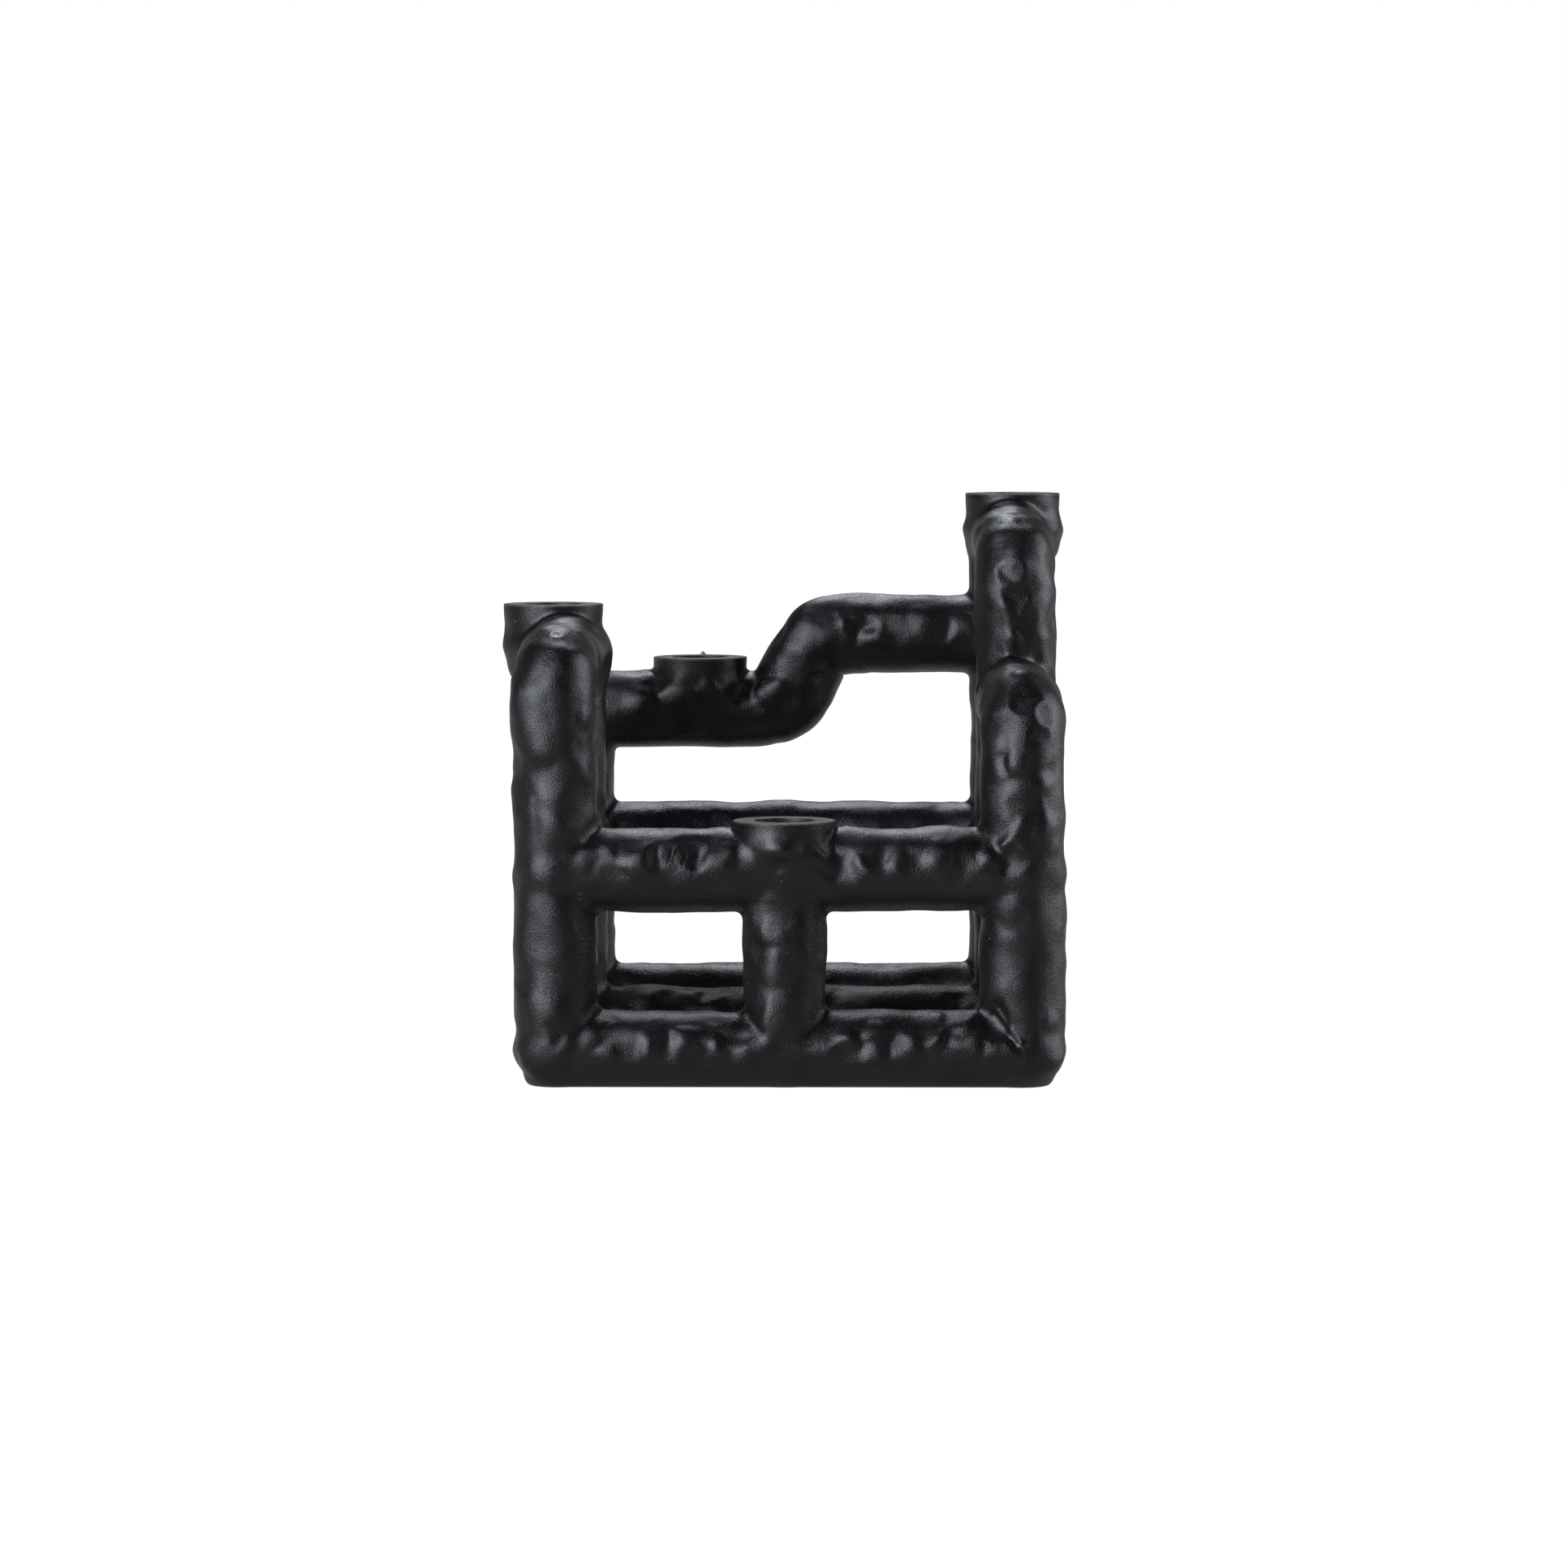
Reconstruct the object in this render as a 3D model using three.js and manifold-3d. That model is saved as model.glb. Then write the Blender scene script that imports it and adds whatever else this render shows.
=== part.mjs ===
// Tabletop candelabra: a free-standing lattice of round cast tubes that carries four taper candles.
// Millimetres, +Z up, and the front faces -Y. Z = 0 is the flat that the base is ground to, and the
// origin is on it, under the middle of the middle base rail.
//
// Seven uprights stand in three rows, front, middle and back. Base rails join all of their feet,
// rails at half height join the front and back rows and the sides, and the upper ends turn over
// into links that carry the cups. Each piece ends in a joint: a square butt where a bend begins,
// or a coped mouth that fits the side of the piece it meets.

import * as THREE from 'three';
import { mergeVertices } from 'three/addons/utils/BufferGeometryUtils.js';
import Module from 'manifold-3d';

const wasm = await Module();
wasm.setup();

// Tube stock
const TUBE_RADIUS = 15.2;
const TUBE_WALL = 4;
const BORE_RADIUS = TUBE_RADIUS - TUBE_WALL;
const JOINT_GAP = 0.3;

// Plan of the lattice
const HALF_WIDTH = 87.6;
const ROW_PITCH = 87.6;
const CENTRE_POST_X = -1.7;

// Heights of the tube axes above the ground flat
const BASE_Z = 12.7;
const HEEL_THICKNESS = 8;
const FRONT_RAIL_Z = 81.4;
const SIDE_RAIL_Z = 80;
const BACK_RAIL_Z = 78.4;
const LEFT_LINK_Z = 159;
const LOW_LINK_Z = 141.6;
const RIGHT_LINK_Z = 201;
const STEP_LOW_Z = 131.9;
const STEP_HIGH_Z = 162.1;

// Bends, by the radius of the tube's axis
const ELBOW_RADIUS = 18;
const STEP_RADIUS = 16.4;
const STEP_ANGLE = Math.PI / 3;
const STEP_LOW_CORNER_X = -6.5;

// Candle cups: each is a turned socket for a 22 mm taper
const SOCKET_RADIUS = 11.25;
const SOCKET_DEPTH = 22;
const CUP_HEIGHT = 28;
const CUP_FOOT_ROUND = 6;
const RIM_CHAMFER = 0.5;
const BELLY_HEIGHT = 9;
const BELLY_TOP_HEIGHT = 17;
const CUPS = {
  front: { x: CENTRE_POST_X, y: -ROW_PITCH, rim: 100, radius: 19.4, belly: 0 },
  left: { x: -92.4, y: 0, rim: 177.8, radius: 19, belly: 1.2 },
  back: { x: -37.2, y: ROW_PITCH, rim: 152.8, radius: 18.9, belly: 0 },
  right: { x: 88.9, y: ROW_PITCH, rim: 219, radius: 19, belly: 0.8 },
};

// Facets
const TUBE_SIDES = 20;
const CUP_SIDES = 24;
const BALL_RINGS = 3;
const FOOT_ROUND_STEPS = 2;
const ELBOW_STEPS = 5;
const STEP_STEPS = 10;

// How far a cut runs past the face it opens, and how near two points are one
const OVERRUN = 1;
const WELD_DISTANCE = 1e-4;

const UP = new THREE.Vector3(0, 0, 1);
const RIGHTWARD = new THREE.Vector3(1, 0, 0);
const BACKWARD = new THREE.Vector3(0, 1, 0);

const at = (x, y, z) => new THREE.Vector3(x, y, z);

// ---------------------------------------------------------------------------------------------
// Geometry to solid and back

function toSolid(geometry) {
  geometry.deleteAttribute('normal');
  geometry.deleteAttribute('uv');
  const merged = mergeVertices(geometry, WELD_DISTANCE);
  const corners = merged.index.array;
  const triangles = [];
  for (let i = 0; i < corners.length; i += 3) {
    const [a, b, c] = [corners[i], corners[i + 1], corners[i + 2]];
    if (a !== b && b !== c && c !== a) triangles.push(a, b, c);
  }
  return new wasm.Manifold(new wasm.Mesh({
    numProp: 3,
    vertProperties: new Float32Array(merged.getAttribute('position').array),
    triVerts: new Uint32Array(triangles),
  }));
}

function toGeometry(solid) {
  const mesh = solid.getMesh();
  const geometry = new THREE.BufferGeometry();
  geometry.setAttribute('position', new THREE.BufferAttribute(mesh.vertProperties, 3));
  geometry.setIndex(new THREE.BufferAttribute(mesh.triVerts, 1));
  geometry.computeVertexNormals();
  return geometry;
}

const largestBody = (solid) => solid.decompose().reduce((a, b) => (a.volume() > b.volume() ? a : b));

// ---------------------------------------------------------------------------------------------
// Forms. Each has outer(grow), its filled outside made larger by grow all round, and whole(), the
// hollow piece before it is fitted. A fitted piece is that less the grown outsides of what it meets.

function turned(profile, x, y, sides) {
  const geometry = new THREE.LatheGeometry(profile.map(([r, z]) => new THREE.Vector2(r, z)), sides);
  geometry.rotateX(Math.PI / 2);
  geometry.translate(x, y, 0);
  return toSolid(geometry);
}

function rod(from, to, radius) {
  const run = to.clone().sub(from);
  const geometry = new THREE.CylinderGeometry(radius, radius, run.length(), TUBE_SIDES);
  const turn = new THREE.Quaternion().setFromUnitVectors(BACKWARD, run.clone().normalize());
  geometry.applyQuaternion(turn);
  geometry.translate(...from.clone().addScaledVector(run, 0.5).toArray());
  return toSolid(geometry);
}

// A straight tube between two points on its axis.
function straightTube(from, to) {
  const along = to.clone().sub(from).normalize();
  const lengthened = (by) => [
    from.clone().addScaledVector(along, -by),
    to.clone().addScaledVector(along, by),
  ];
  const outer = (grow) => rod(...lengthened(grow), TUBE_RADIUS + grow);
  return { outer, whole: () => outer(0).subtract(rod(...lengthened(OVERRUN), BORE_RADIUS)) };
}

// An upright with a ball foot, ground flat underneath and solid in its heel.
function footedPost(x, y, top) {
  const profile = (grow) => {
    const radius = TUBE_RADIUS + grow;
    const start = Math.asin((BASE_Z + grow) / radius);
    const points = [[0, -grow]];
    for (let i = 0; i <= BALL_RINGS; i += 1) {
      const angle = start * (1 - i / BALL_RINGS);
      points.push([radius * Math.cos(angle), BASE_Z - radius * Math.sin(angle)]);
    }
    points.push([radius, top + grow], [0, top + grow]);
    return points;
  };
  const outer = (grow) => turned(profile(grow), x, y, TUBE_SIDES);
  const bore = () => rod(at(x, y, HEEL_THICKNESS), at(x, y, top + OVERRUN), BORE_RADIUS);
  return { outer, whole: () => outer(0).subtract(bore()) };
}

// A circular arc in space: it starts at a point, heading one way, and turns towards another.
class Bend extends THREE.Curve {
  constructor(start, heading, towards, radius, angle) {
    super();
    Object.assign(this, { start, heading, towards, radius, angle });
  }

  getPoint(t, target = new THREE.Vector3()) {
    const turn = t * this.angle;
    return target.copy(this.start)
      .addScaledVector(this.heading, this.radius * Math.sin(turn))
      .addScaledVector(this.towards, this.radius * (1 - Math.cos(turn)));
  }
}

function circle(radius) {
  const points = [];
  for (let i = 0; i < TUBE_SIDES; i += 1) {
    const angle = (2 * Math.PI * i) / TUBE_SIDES;
    points.push(new THREE.Vector2(radius * Math.cos(angle), radius * Math.sin(angle)));
  }
  return points;
}

// A bent tube, or the rod that fills it.
function bentTube(path, steps) {
  const swept = (section) => toSolid(
    new THREE.ExtrudeGeometry(section, { extrudePath: path, steps, bevelEnabled: false }),
  );
  const ring = new THREE.Shape(circle(TUBE_RADIUS));
  ring.holes.push(new THREE.Path(circle(BORE_RADIUS)));
  const outer = (grow) => swept(new THREE.Shape(circle(TUBE_RADIUS + grow)));
  return { outer, whole: () => swept(ring) };
}

// A quarter turn from the top of an upright, over to a level link.
const elbow = (x, y, linkZ, towards) => bentTube(
  new Bend(at(x, y, linkZ - ELBOW_RADIUS), UP, towards, ELBOW_RADIUS, Math.PI / 2),
  ELBOW_STEPS,
);

// A turned candle cup: flat rim, straight wall, a slight belly on some, a rounded foot and a blind
// socket.
function candleCup({ x, y, rim, radius, belly }) {
  const foot = rim - CUP_HEIGHT;
  const profile = (grow) => {
    const wall = radius + grow;
    const widest = wall + belly;
    const points = [[0, foot - grow], [widest - CUP_FOOT_ROUND, foot - grow]];
    for (let i = 1; i <= FOOT_ROUND_STEPS; i += 1) {
      const turn = (Math.PI / 2) * (i / FOOT_ROUND_STEPS);
      points.push([
        widest - CUP_FOOT_ROUND * (1 - Math.sin(turn)),
        foot - grow + CUP_FOOT_ROUND * (1 - Math.cos(turn)),
      ]);
    }
    if (belly > 0) points.push([widest, foot + BELLY_HEIGHT], [wall, foot + BELLY_TOP_HEIGHT]);
    points.push([wall, rim - RIM_CHAMFER + grow], [wall - RIM_CHAMFER, rim + grow], [0, rim + grow]);
    return points;
  };
  const socket = [
    [0, rim - SOCKET_DEPTH],
    [SOCKET_RADIUS, rim - SOCKET_DEPTH],
    [SOCKET_RADIUS, rim + OVERRUN],
    [0, rim + OVERRUN],
  ];
  const outer = (grow) => turned(profile(grow), x, y, CUP_SIDES);
  return { outer, whole: () => outer(0).subtract(turned(socket, x, y, CUP_SIDES)) };
}

// ---------------------------------------------------------------------------------------------
// The pieces, in the order they are fitted: each is coped to the ones before it that it meets.

const cupFoot = (cup) => cup.rim - CUP_HEIGHT;
const left = -HALF_WIDTH;
const right = HALF_WIDTH;
const [front, middle, back] = [-ROW_PITCH, 0, ROW_PITCH];

const slope = at(Math.cos(STEP_ANGLE), 0, Math.sin(STEP_ANGLE));
const slopeLength = (STEP_HIGH_Z - STEP_LOW_Z) / Math.sin(STEP_ANGLE);
const cornerTrim = STEP_RADIUS * Math.tan(STEP_ANGLE / 2);
const stepStartX = STEP_LOW_CORNER_X - cornerTrim;
const stepEndX = STEP_LOW_CORNER_X + slopeLength * slope.x + cornerTrim;

// Two bends and the slope between them, which lift the back rail from its low run to its high one.
function stepPath() {
  const lower = new Bend(at(stepStartX, back, STEP_LOW_Z), RIGHTWARD, UP, STEP_RADIUS, STEP_ANGLE);
  const slopeStart = lower.getPoint(1);
  const slopeEnd = slopeStart.clone().addScaledVector(slope, slopeLength - 2 * cornerTrim);
  const outward = at(Math.sin(STEP_ANGLE), 0, -Math.cos(STEP_ANGLE));
  const upper = new Bend(slopeEnd, slope, outward, STEP_RADIUS, STEP_ANGLE);
  const path = new THREE.CurvePath();
  path.curves.push(lower, new THREE.LineCurve3(slopeStart, slopeEnd), upper);
  return path;
}

const topUnder = (linkZ) => linkZ - ELBOW_RADIUS - JOINT_GAP;
const linkStart = ELBOW_RADIUS + JOINT_GAP;
const railAcross = (y, z) => straightTube(at(left, y, z), at(right, y, z));
const linkBack = (x, y, z) => straightTube(at(x, y + linkStart, z), at(x, y + ROW_PITCH, z));

const FORMS = {
  front_candle_cup: candleCup(CUPS.front),
  left_candle_cup: candleCup(CUPS.left),
  back_candle_cup: candleCup(CUPS.back),
  right_candle_cup: candleCup(CUPS.right),

  front_left_post: footedPost(left, front, topUnder(LEFT_LINK_Z)),
  middle_left_post: footedPost(left, middle, cupFoot(CUPS.left) - JOINT_GAP),
  back_left_post: footedPost(left, back, topUnder(STEP_LOW_Z)),
  front_right_post: footedPost(right, front, topUnder(LOW_LINK_Z)),
  middle_right_post: footedPost(right, middle, topUnder(RIGHT_LINK_Z)),
  back_right_post: footedPost(right, back, cupFoot(CUPS.right) - JOINT_GAP),

  front_left_elbow: elbow(left, front, LEFT_LINK_Z, BACKWARD),
  back_left_elbow: elbow(left, back, STEP_LOW_Z, RIGHTWARD),
  front_right_elbow: elbow(right, front, LOW_LINK_Z, BACKWARD),
  middle_right_elbow: elbow(right, middle, RIGHT_LINK_Z, BACKWARD),

  left_top_link: linkBack(left, front, LEFT_LINK_Z),
  right_low_link: linkBack(right, front, LOW_LINK_Z),
  right_top_link: linkBack(right, middle, RIGHT_LINK_Z),

  front_base_rail: railAcross(front, BASE_Z),
  middle_base_rail: railAcross(middle, BASE_Z),
  back_base_rail: railAcross(back, BASE_Z),
  front_centre_post: straightTube(
    at(CENTRE_POST_X, front, BASE_Z),
    at(CENTRE_POST_X, front, cupFoot(CUPS.front) - JOINT_GAP),
  ),

  front_mid_rail_left: straightTube(
    at(left, front, FRONT_RAIL_Z),
    at(CENTRE_POST_X - JOINT_GAP, front, FRONT_RAIL_Z),
  ),
  front_mid_rail_right: straightTube(
    at(CENTRE_POST_X + JOINT_GAP, front, FRONT_RAIL_Z),
    at(right, front, FRONT_RAIL_Z),
  ),
  back_mid_rail: railAcross(back, BACK_RAIL_Z),

  back_low_rail: straightTube(
    at(left + linkStart, back, STEP_LOW_Z),
    at(stepStartX - JOINT_GAP, back, STEP_LOW_Z),
  ),
  back_step_bend: bentTube(stepPath(), STEP_STEPS),
  back_high_rail: straightTube(
    at(stepEndX + JOINT_GAP, back, STEP_HIGH_Z),
    at(right, back, STEP_HIGH_Z),
  ),
};

// What each piece is coped to. The cups, elbows and the step bend keep their whole form.
const MEETS = {
  left_top_link: ['left_candle_cup', 'middle_left_post'],
  right_low_link: ['middle_right_post'],
  right_top_link: ['right_candle_cup', 'back_right_post'],
  front_base_rail: ['front_left_post', 'front_right_post'],
  middle_base_rail: ['middle_left_post', 'middle_right_post'],
  back_base_rail: ['back_left_post', 'back_right_post'],
  front_centre_post: ['front_base_rail'],
  front_mid_rail_left: ['front_left_post', 'front_candle_cup', 'front_centre_post'],
  front_mid_rail_right: ['front_right_post', 'front_candle_cup', 'front_centre_post'],
  back_mid_rail: ['back_left_post', 'back_right_post'],
  back_low_rail: ['back_candle_cup'],
  back_high_rail: ['back_right_post'],
};

// The side rails come last: four at the base and four at half height, coped to the posts and the
// cross rails.
for (const [side, x] of [['left', left], ['right', right]]) {
  for (const [half, from, to, nearRow, farRow] of [
    ['front', front, middle, 'front', 'middle'],
    ['back', middle, back, 'middle', 'back'],
  ]) {
    const posts = [`${nearRow}_${side}_post`, `${farRow}_${side}_post`];
    const base = `${side}_base_side_rail_${half}`;
    FORMS[base] = straightTube(at(x, from, BASE_Z), at(x, to, BASE_Z));
    MEETS[base] = [...posts, `${nearRow}_base_rail`, `${farRow}_base_rail`];

    const mid = `${side}_mid_side_rail_${half}`;
    const crossRail = half === 'front' ? `front_mid_rail_${side}` : 'back_mid_rail';
    FORMS[mid] = straightTube(at(x, from, SIDE_RAIL_Z), at(x, to, SIDE_RAIL_Z));
    MEETS[mid] = [...posts, crossRail];
  }
}

// ---------------------------------------------------------------------------------------------
// Finish: one black powder coat, a little smoother on the turned cups than on the cast tubes.

const COAT_COLOUR = 0x1f2123;
const TUBE_ROUGHNESS = 0.58;
const CUP_ROUGHNESS = 0.5;

const coat = (roughness) => new THREE.MeshStandardMaterial({
  color: COAT_COLOUR,
  roughness,
  metalness: 0,
});

function groundBlock() {
  const geometry = new THREE.BoxGeometry(4 * HALF_WIDTH, 4 * ROW_PITCH, 4 * TUBE_RADIUS);
  geometry.translate(0, 0, -2 * TUBE_RADIUS);
  return toSolid(geometry);
}

const ground = groundBlock();

function fitted(name) {
  let solid = FORMS[name].whole();
  for (const neighbour of MEETS[name] ?? []) {
    solid = solid.subtract(FORMS[neighbour].outer(JOINT_GAP));
  }
  return largestBody(solid.subtract(ground));
}

const candelabra = new THREE.Group();
for (const name of Object.keys(FORMS)) {
  const roughness = name.endsWith('candle_cup') ? CUP_ROUGHNESS : TUBE_ROUGHNESS;
  const mesh = new THREE.Mesh(toGeometry(fitted(name)), coat(roughness));
  mesh.name = name;
  candelabra.add(mesh);
}

export default candelabra;
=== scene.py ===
"""A tabletop candelabra: hand-dented black tubes with four turned candle cups, on a pale floor.

One smooth skin is worked out for the whole lattice, from the places and sizes of the frame's nodes. It
is filleted at the joints, dented, and then cut into one closed piece for each node, so that a piece
ends exactly where its neighbour begins. Lengths are in millimetres up to the last step of each mesh.
"""

import math

import bmesh
import bpy
import numpy as np
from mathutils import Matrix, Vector, kdtree


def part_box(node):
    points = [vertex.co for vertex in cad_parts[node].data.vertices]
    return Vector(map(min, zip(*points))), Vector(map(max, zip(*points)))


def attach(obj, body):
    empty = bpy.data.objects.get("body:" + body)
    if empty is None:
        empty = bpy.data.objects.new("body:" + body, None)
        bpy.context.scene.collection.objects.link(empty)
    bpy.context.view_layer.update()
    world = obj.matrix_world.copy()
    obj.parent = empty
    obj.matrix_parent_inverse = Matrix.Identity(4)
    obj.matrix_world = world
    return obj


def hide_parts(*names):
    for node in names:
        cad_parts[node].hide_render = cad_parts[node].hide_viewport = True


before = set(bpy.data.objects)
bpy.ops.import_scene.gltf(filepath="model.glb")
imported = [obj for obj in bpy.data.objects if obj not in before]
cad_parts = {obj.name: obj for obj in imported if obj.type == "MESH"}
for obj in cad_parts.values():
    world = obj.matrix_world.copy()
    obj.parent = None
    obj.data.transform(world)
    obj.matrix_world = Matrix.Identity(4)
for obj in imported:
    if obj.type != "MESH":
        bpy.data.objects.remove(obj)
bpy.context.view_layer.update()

MM = 0.001
SEED = 7

# How fine the skin's mesh is, and how often it is evened out and drawn on to the true surface
VOXEL = 1.0
RELAX_ROUNDS = 3
RELAX_SHARE = 0.6
PROJECT_ROUNDS = 3

# Fillets, and the least share of one that is kept where two surfaces run together. A cup's fillets
# are tight near its rim, and soften between these distances below it
FILLET = 3.8
FILLET_KEPT = 0.45
CUP_FILLET = 5.5
CUP_FILLET_KEPT = 1.0
RIM_FILLET = 1.6
RIM_FILLET_FADE = (6, 15)
GROUND_ROUND = 0.5

# How much fatter the skin is than the frame's tubes
SKIN_OVER_TUBE = 0.5

# Further off than anything on the object: the open end of a range
FAR = 1e3

# Cups
RIM_ROUND = 0.5
MOUTH_ROUND = 0.45
SOCKET_RADIUS = 11.25
SOCKET_DEPTH = 22.0
CUP_SIDES = 144

# The stepped back rail
STEP_RADIUS = 16.4
STEP_ANGLE = math.radians(60)

X, Y, Z = np.eye(3)


# ---- What the frame says, in millimetres


def box(node):
    """The lowest and highest corners of a node."""
    low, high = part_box(node)
    return np.array(low) / MM, np.array(high) / MM


def middle(node):
    low, high = box(node)
    return (low + high) / 2


def at(x, y, z):
    return np.array((x, y, z), float)


FL_LOW, FL_HIGH = box("front_left_post")
TUBE_RADIUS = (FL_HIGH[0] - FL_LOW[0]) / 2
SKIN_RADIUS = TUBE_RADIUS + SKIN_OVER_TUBE
LEFT = middle("front_left_post")[0]
RIGHT = middle("front_right_post")[0]
FRONT = middle("front_left_post")[1]
MIDDLE = middle("middle_left_post")[1]
BACK = middle("back_left_post")[1]
CENTRE_X = middle("front_centre_post")[0]

BASE_Z = box("front_base_rail")[1][2] - TUBE_RADIUS
FRONT_RAIL_Z = middle("front_mid_rail_left")[2]
BACK_RAIL_Z = middle("back_mid_rail")[2]
SIDE_RAIL_Z = middle("left_mid_side_rail_front")[2]
LEFT_LINK_Z = middle("left_top_link")[2]
LOW_LINK_Z = middle("right_low_link")[2]
RIGHT_LINK_Z = middle("right_top_link")[2]
STEP_LOW_Z = middle("back_low_rail")[2]
STEP_HIGH_Z = middle("back_high_rail")[2]
ELBOW_LOW, ELBOW_HIGH = box("front_left_elbow")
ELBOW_RADIUS = (ELBOW_HIGH[2] - ELBOW_LOW[2]) - TUBE_RADIUS
STEP_START_X, STEP_END_X = box("back_step_bend")[0][0], box("back_step_bend")[1][0]


# ---- The shapes that the skin is made of. distance() gives the signed distance to the shape and the
# direction away from it, for an array of points.


class Line:
    """A straight stretch of a tube's axis."""

    def __init__(self, start, end):
        self.start, self.end = start, end

    def nearest(self, points):
        run = self.end - self.start
        t = np.clip((points - self.start) @ run / (run @ run), 0, 1)
        return self.start + t[:, None] * run

    def stations(self):
        return np.array([self.start, self.end])


class Arc:
    """A bend of a tube's axis, from start, heading one way and turning towards another."""

    def __init__(self, start, heading, towards, radius, angle):
        self.heading, self.outward = heading, -towards
        self.radius, self.angle = radius, angle
        self.centre = start + towards * radius

    def point(self, angle):
        angle = np.asarray(angle)[..., None]
        return self.centre + self.radius * (np.cos(angle) * self.outward + np.sin(angle) * self.heading)

    def nearest(self, points):
        from_centre = points - self.centre
        angle = np.arctan2(from_centre @ self.heading, from_centre @ self.outward)
        return self.point(np.clip(angle, 0, self.angle))

    def end_heading(self):
        return math.cos(self.angle) * self.heading - math.sin(self.angle) * self.outward

    def stations(self):
        return self.point(np.linspace(0, self.angle, 9))


def fade(value, start, end):
    t = np.clip((value - start) / (end - start), 0, 1)
    return t * t * (3 - 2 * t)


def unit(vectors):
    return vectors / np.maximum(np.linalg.norm(vectors, axis=1, keepdims=True), 1e-9)


class Tube:
    """A run of round tube along straight and bent stretches, with ball ends."""

    fillet_kept = FILLET_KEPT

    def __init__(self, *stretches):
        self.stretches = stretches
        stations = self.stations()
        self.low = stations.min(0) - SKIN_RADIUS
        self.high = stations.max(0) + SKIN_RADIUS

    def stations(self):
        points = [self.stretches[0].stations()]
        points += [s.stations()[1:] for s in self.stretches[1:]]
        return np.concatenate(points)

    def distance(self, points):
        best = np.full(len(points), np.inf)
        away = np.zeros((len(points), 3))
        for stretch in self.stretches:
            offset = points - stretch.nearest(points)
            length = np.linalg.norm(offset, axis=1)
            nearer = length < best
            best[nearer] = length[nearer]
            away[nearer] = offset[nearer]
        return best - SKIN_RADIUS, unit(away)

    def fillets(self, points):
        return np.full(len(points), FILLET)

    def scaffold(self):
        """A closed mesh of the tube: rings along its axis and a dome at each end."""
        stations = self.stations()
        along = unit(np.gradient(stations, axis=0))
        rings = [(stations[0], along[0], angle) for angle in np.radians((-80, -60, -40, -20))]
        rings += [(station, heading, 0.0) for station, heading in zip(stations, along)]
        rings += [(stations[-1], along[-1], angle) for angle in np.radians((20, 40, 60, 80))]
        centres = [place + heading * SKIN_RADIUS * math.sin(angle) for place, heading, angle in rings]
        radii = [SKIN_RADIUS * math.cos(angle) for _place, _heading, angle in rings]
        return rings_to_mesh(centres, [heading for _place, heading, _angle in rings], radii)


def cup_fillets(below_rim):
    """The fillets round a cup's body, which are tight near its rim and soft lower down."""
    return RIM_FILLET + (CUP_FILLET - RIM_FILLET) * fade(below_rim, *RIM_FILLET_FADE)


class Ball:
    """The round belly of a cup."""

    fillet_kept = CUP_FILLET_KEPT

    def __init__(self, centre, radius, rim):
        self.centre, self.radius, self.rim = centre, radius, rim
        self.low, self.high = centre - radius, centre + radius

    def fillets(self, points):
        return cup_fillets(self.rim - points[:, 2])

    def distance(self, points):
        offset = points - self.centre
        return np.linalg.norm(offset, axis=1) - self.radius, unit(offset)

    def scaffold(self):
        angles = np.radians(np.arange(-80, 81, 10))
        centres = [self.centre + Z * self.radius * math.sin(a) for a in angles]
        return rings_to_mesh(centres, [Z] * len(angles), self.radius * np.cos(angles))


class Drum:
    """An upright round body that widens smoothly from its foot: the outside of a cup."""

    fillet_kept = CUP_FILLET_KEPT

    def __init__(self, centre, foot, foot_radius, taper, radius, top):
        self.centre, self.foot, self.foot_radius = centre, foot, foot_radius
        self.taper, self.radius, self.top = taper, radius, top
        reach = at(radius, radius, 0)
        self.low = at(centre[0], centre[1], foot) - reach
        self.high = at(centre[0], centre[1], top) + reach

    def wall(self, height):
        """Its radius at a height above its foot, and how fast that grows."""
        t = np.clip(height / self.taper, 0, 1)
        widening = self.radius - self.foot_radius
        return self.foot_radius + widening * t * t * (3 - 2 * t), widening * 6 * t * (1 - t) / self.taper

    def distance(self, points):
        offset = points[:, :2] - self.centre[:2]
        from_axis = np.maximum(np.linalg.norm(offset, axis=1), 1e-9)
        height = points[:, 2] - self.foot
        radius, growth = self.wall(height)
        steepness = np.hypot(1, growth)
        side = (from_axis - radius) / steepness
        away = np.column_stack([offset / from_axis[:, None], -growth]) / steepness[:, None]
        under = -height
        return np.maximum(side, under), np.where((side > under)[:, None], away, -Z)

    def fillets(self, points):
        return cup_fillets(self.centre[2] - points[:, 2])

    def scaffold(self):
        heights = np.append(np.linspace(0, self.taper, 8), self.top - self.foot)
        base = at(self.centre[0], self.centre[1], self.foot)
        return rings_to_mesh([base + Z * h for h in heights], [Z] * len(heights), self.wall(heights)[0])


def bands(rings, sides, first=0):
    """The quads between rings that follow one another, whose points are numbered from first."""
    faces = []
    for ring in range(rings - 1):
        a, b = first + ring * sides, first + (ring + 1) * sides
        for i in range(sides):
            j = (i + 1) % sides
            faces.append((a + i, a + j, b + j, b + i))
    return faces


def rings_to_mesh(centres, headings, radii, sides=24):
    """A closed mesh through rings, as (vertices, faces)."""
    vertices = []
    angles = np.linspace(0, 2 * math.pi, sides, endpoint=False)
    across = None
    for centre, heading, radius in zip(centres, headings, radii):
        if across is None:
            across = np.cross(heading, X if abs(heading[0]) < 0.9 else Y)
        across = across - heading * (across @ heading)
        across = across / np.linalg.norm(across)
        other = np.cross(heading, across)
        ring = centre + radius * (np.cos(angles)[:, None] * across + np.sin(angles)[:, None] * other)
        vertices.extend(ring)
    faces = bands(len(radii), sides)
    faces.append(tuple(range(sides))[::-1])
    last = (len(radii) - 1) * sides
    faces.append(tuple(range(last, last + sides)))
    return np.array(vertices), faces


# ---- The lattice


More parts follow.
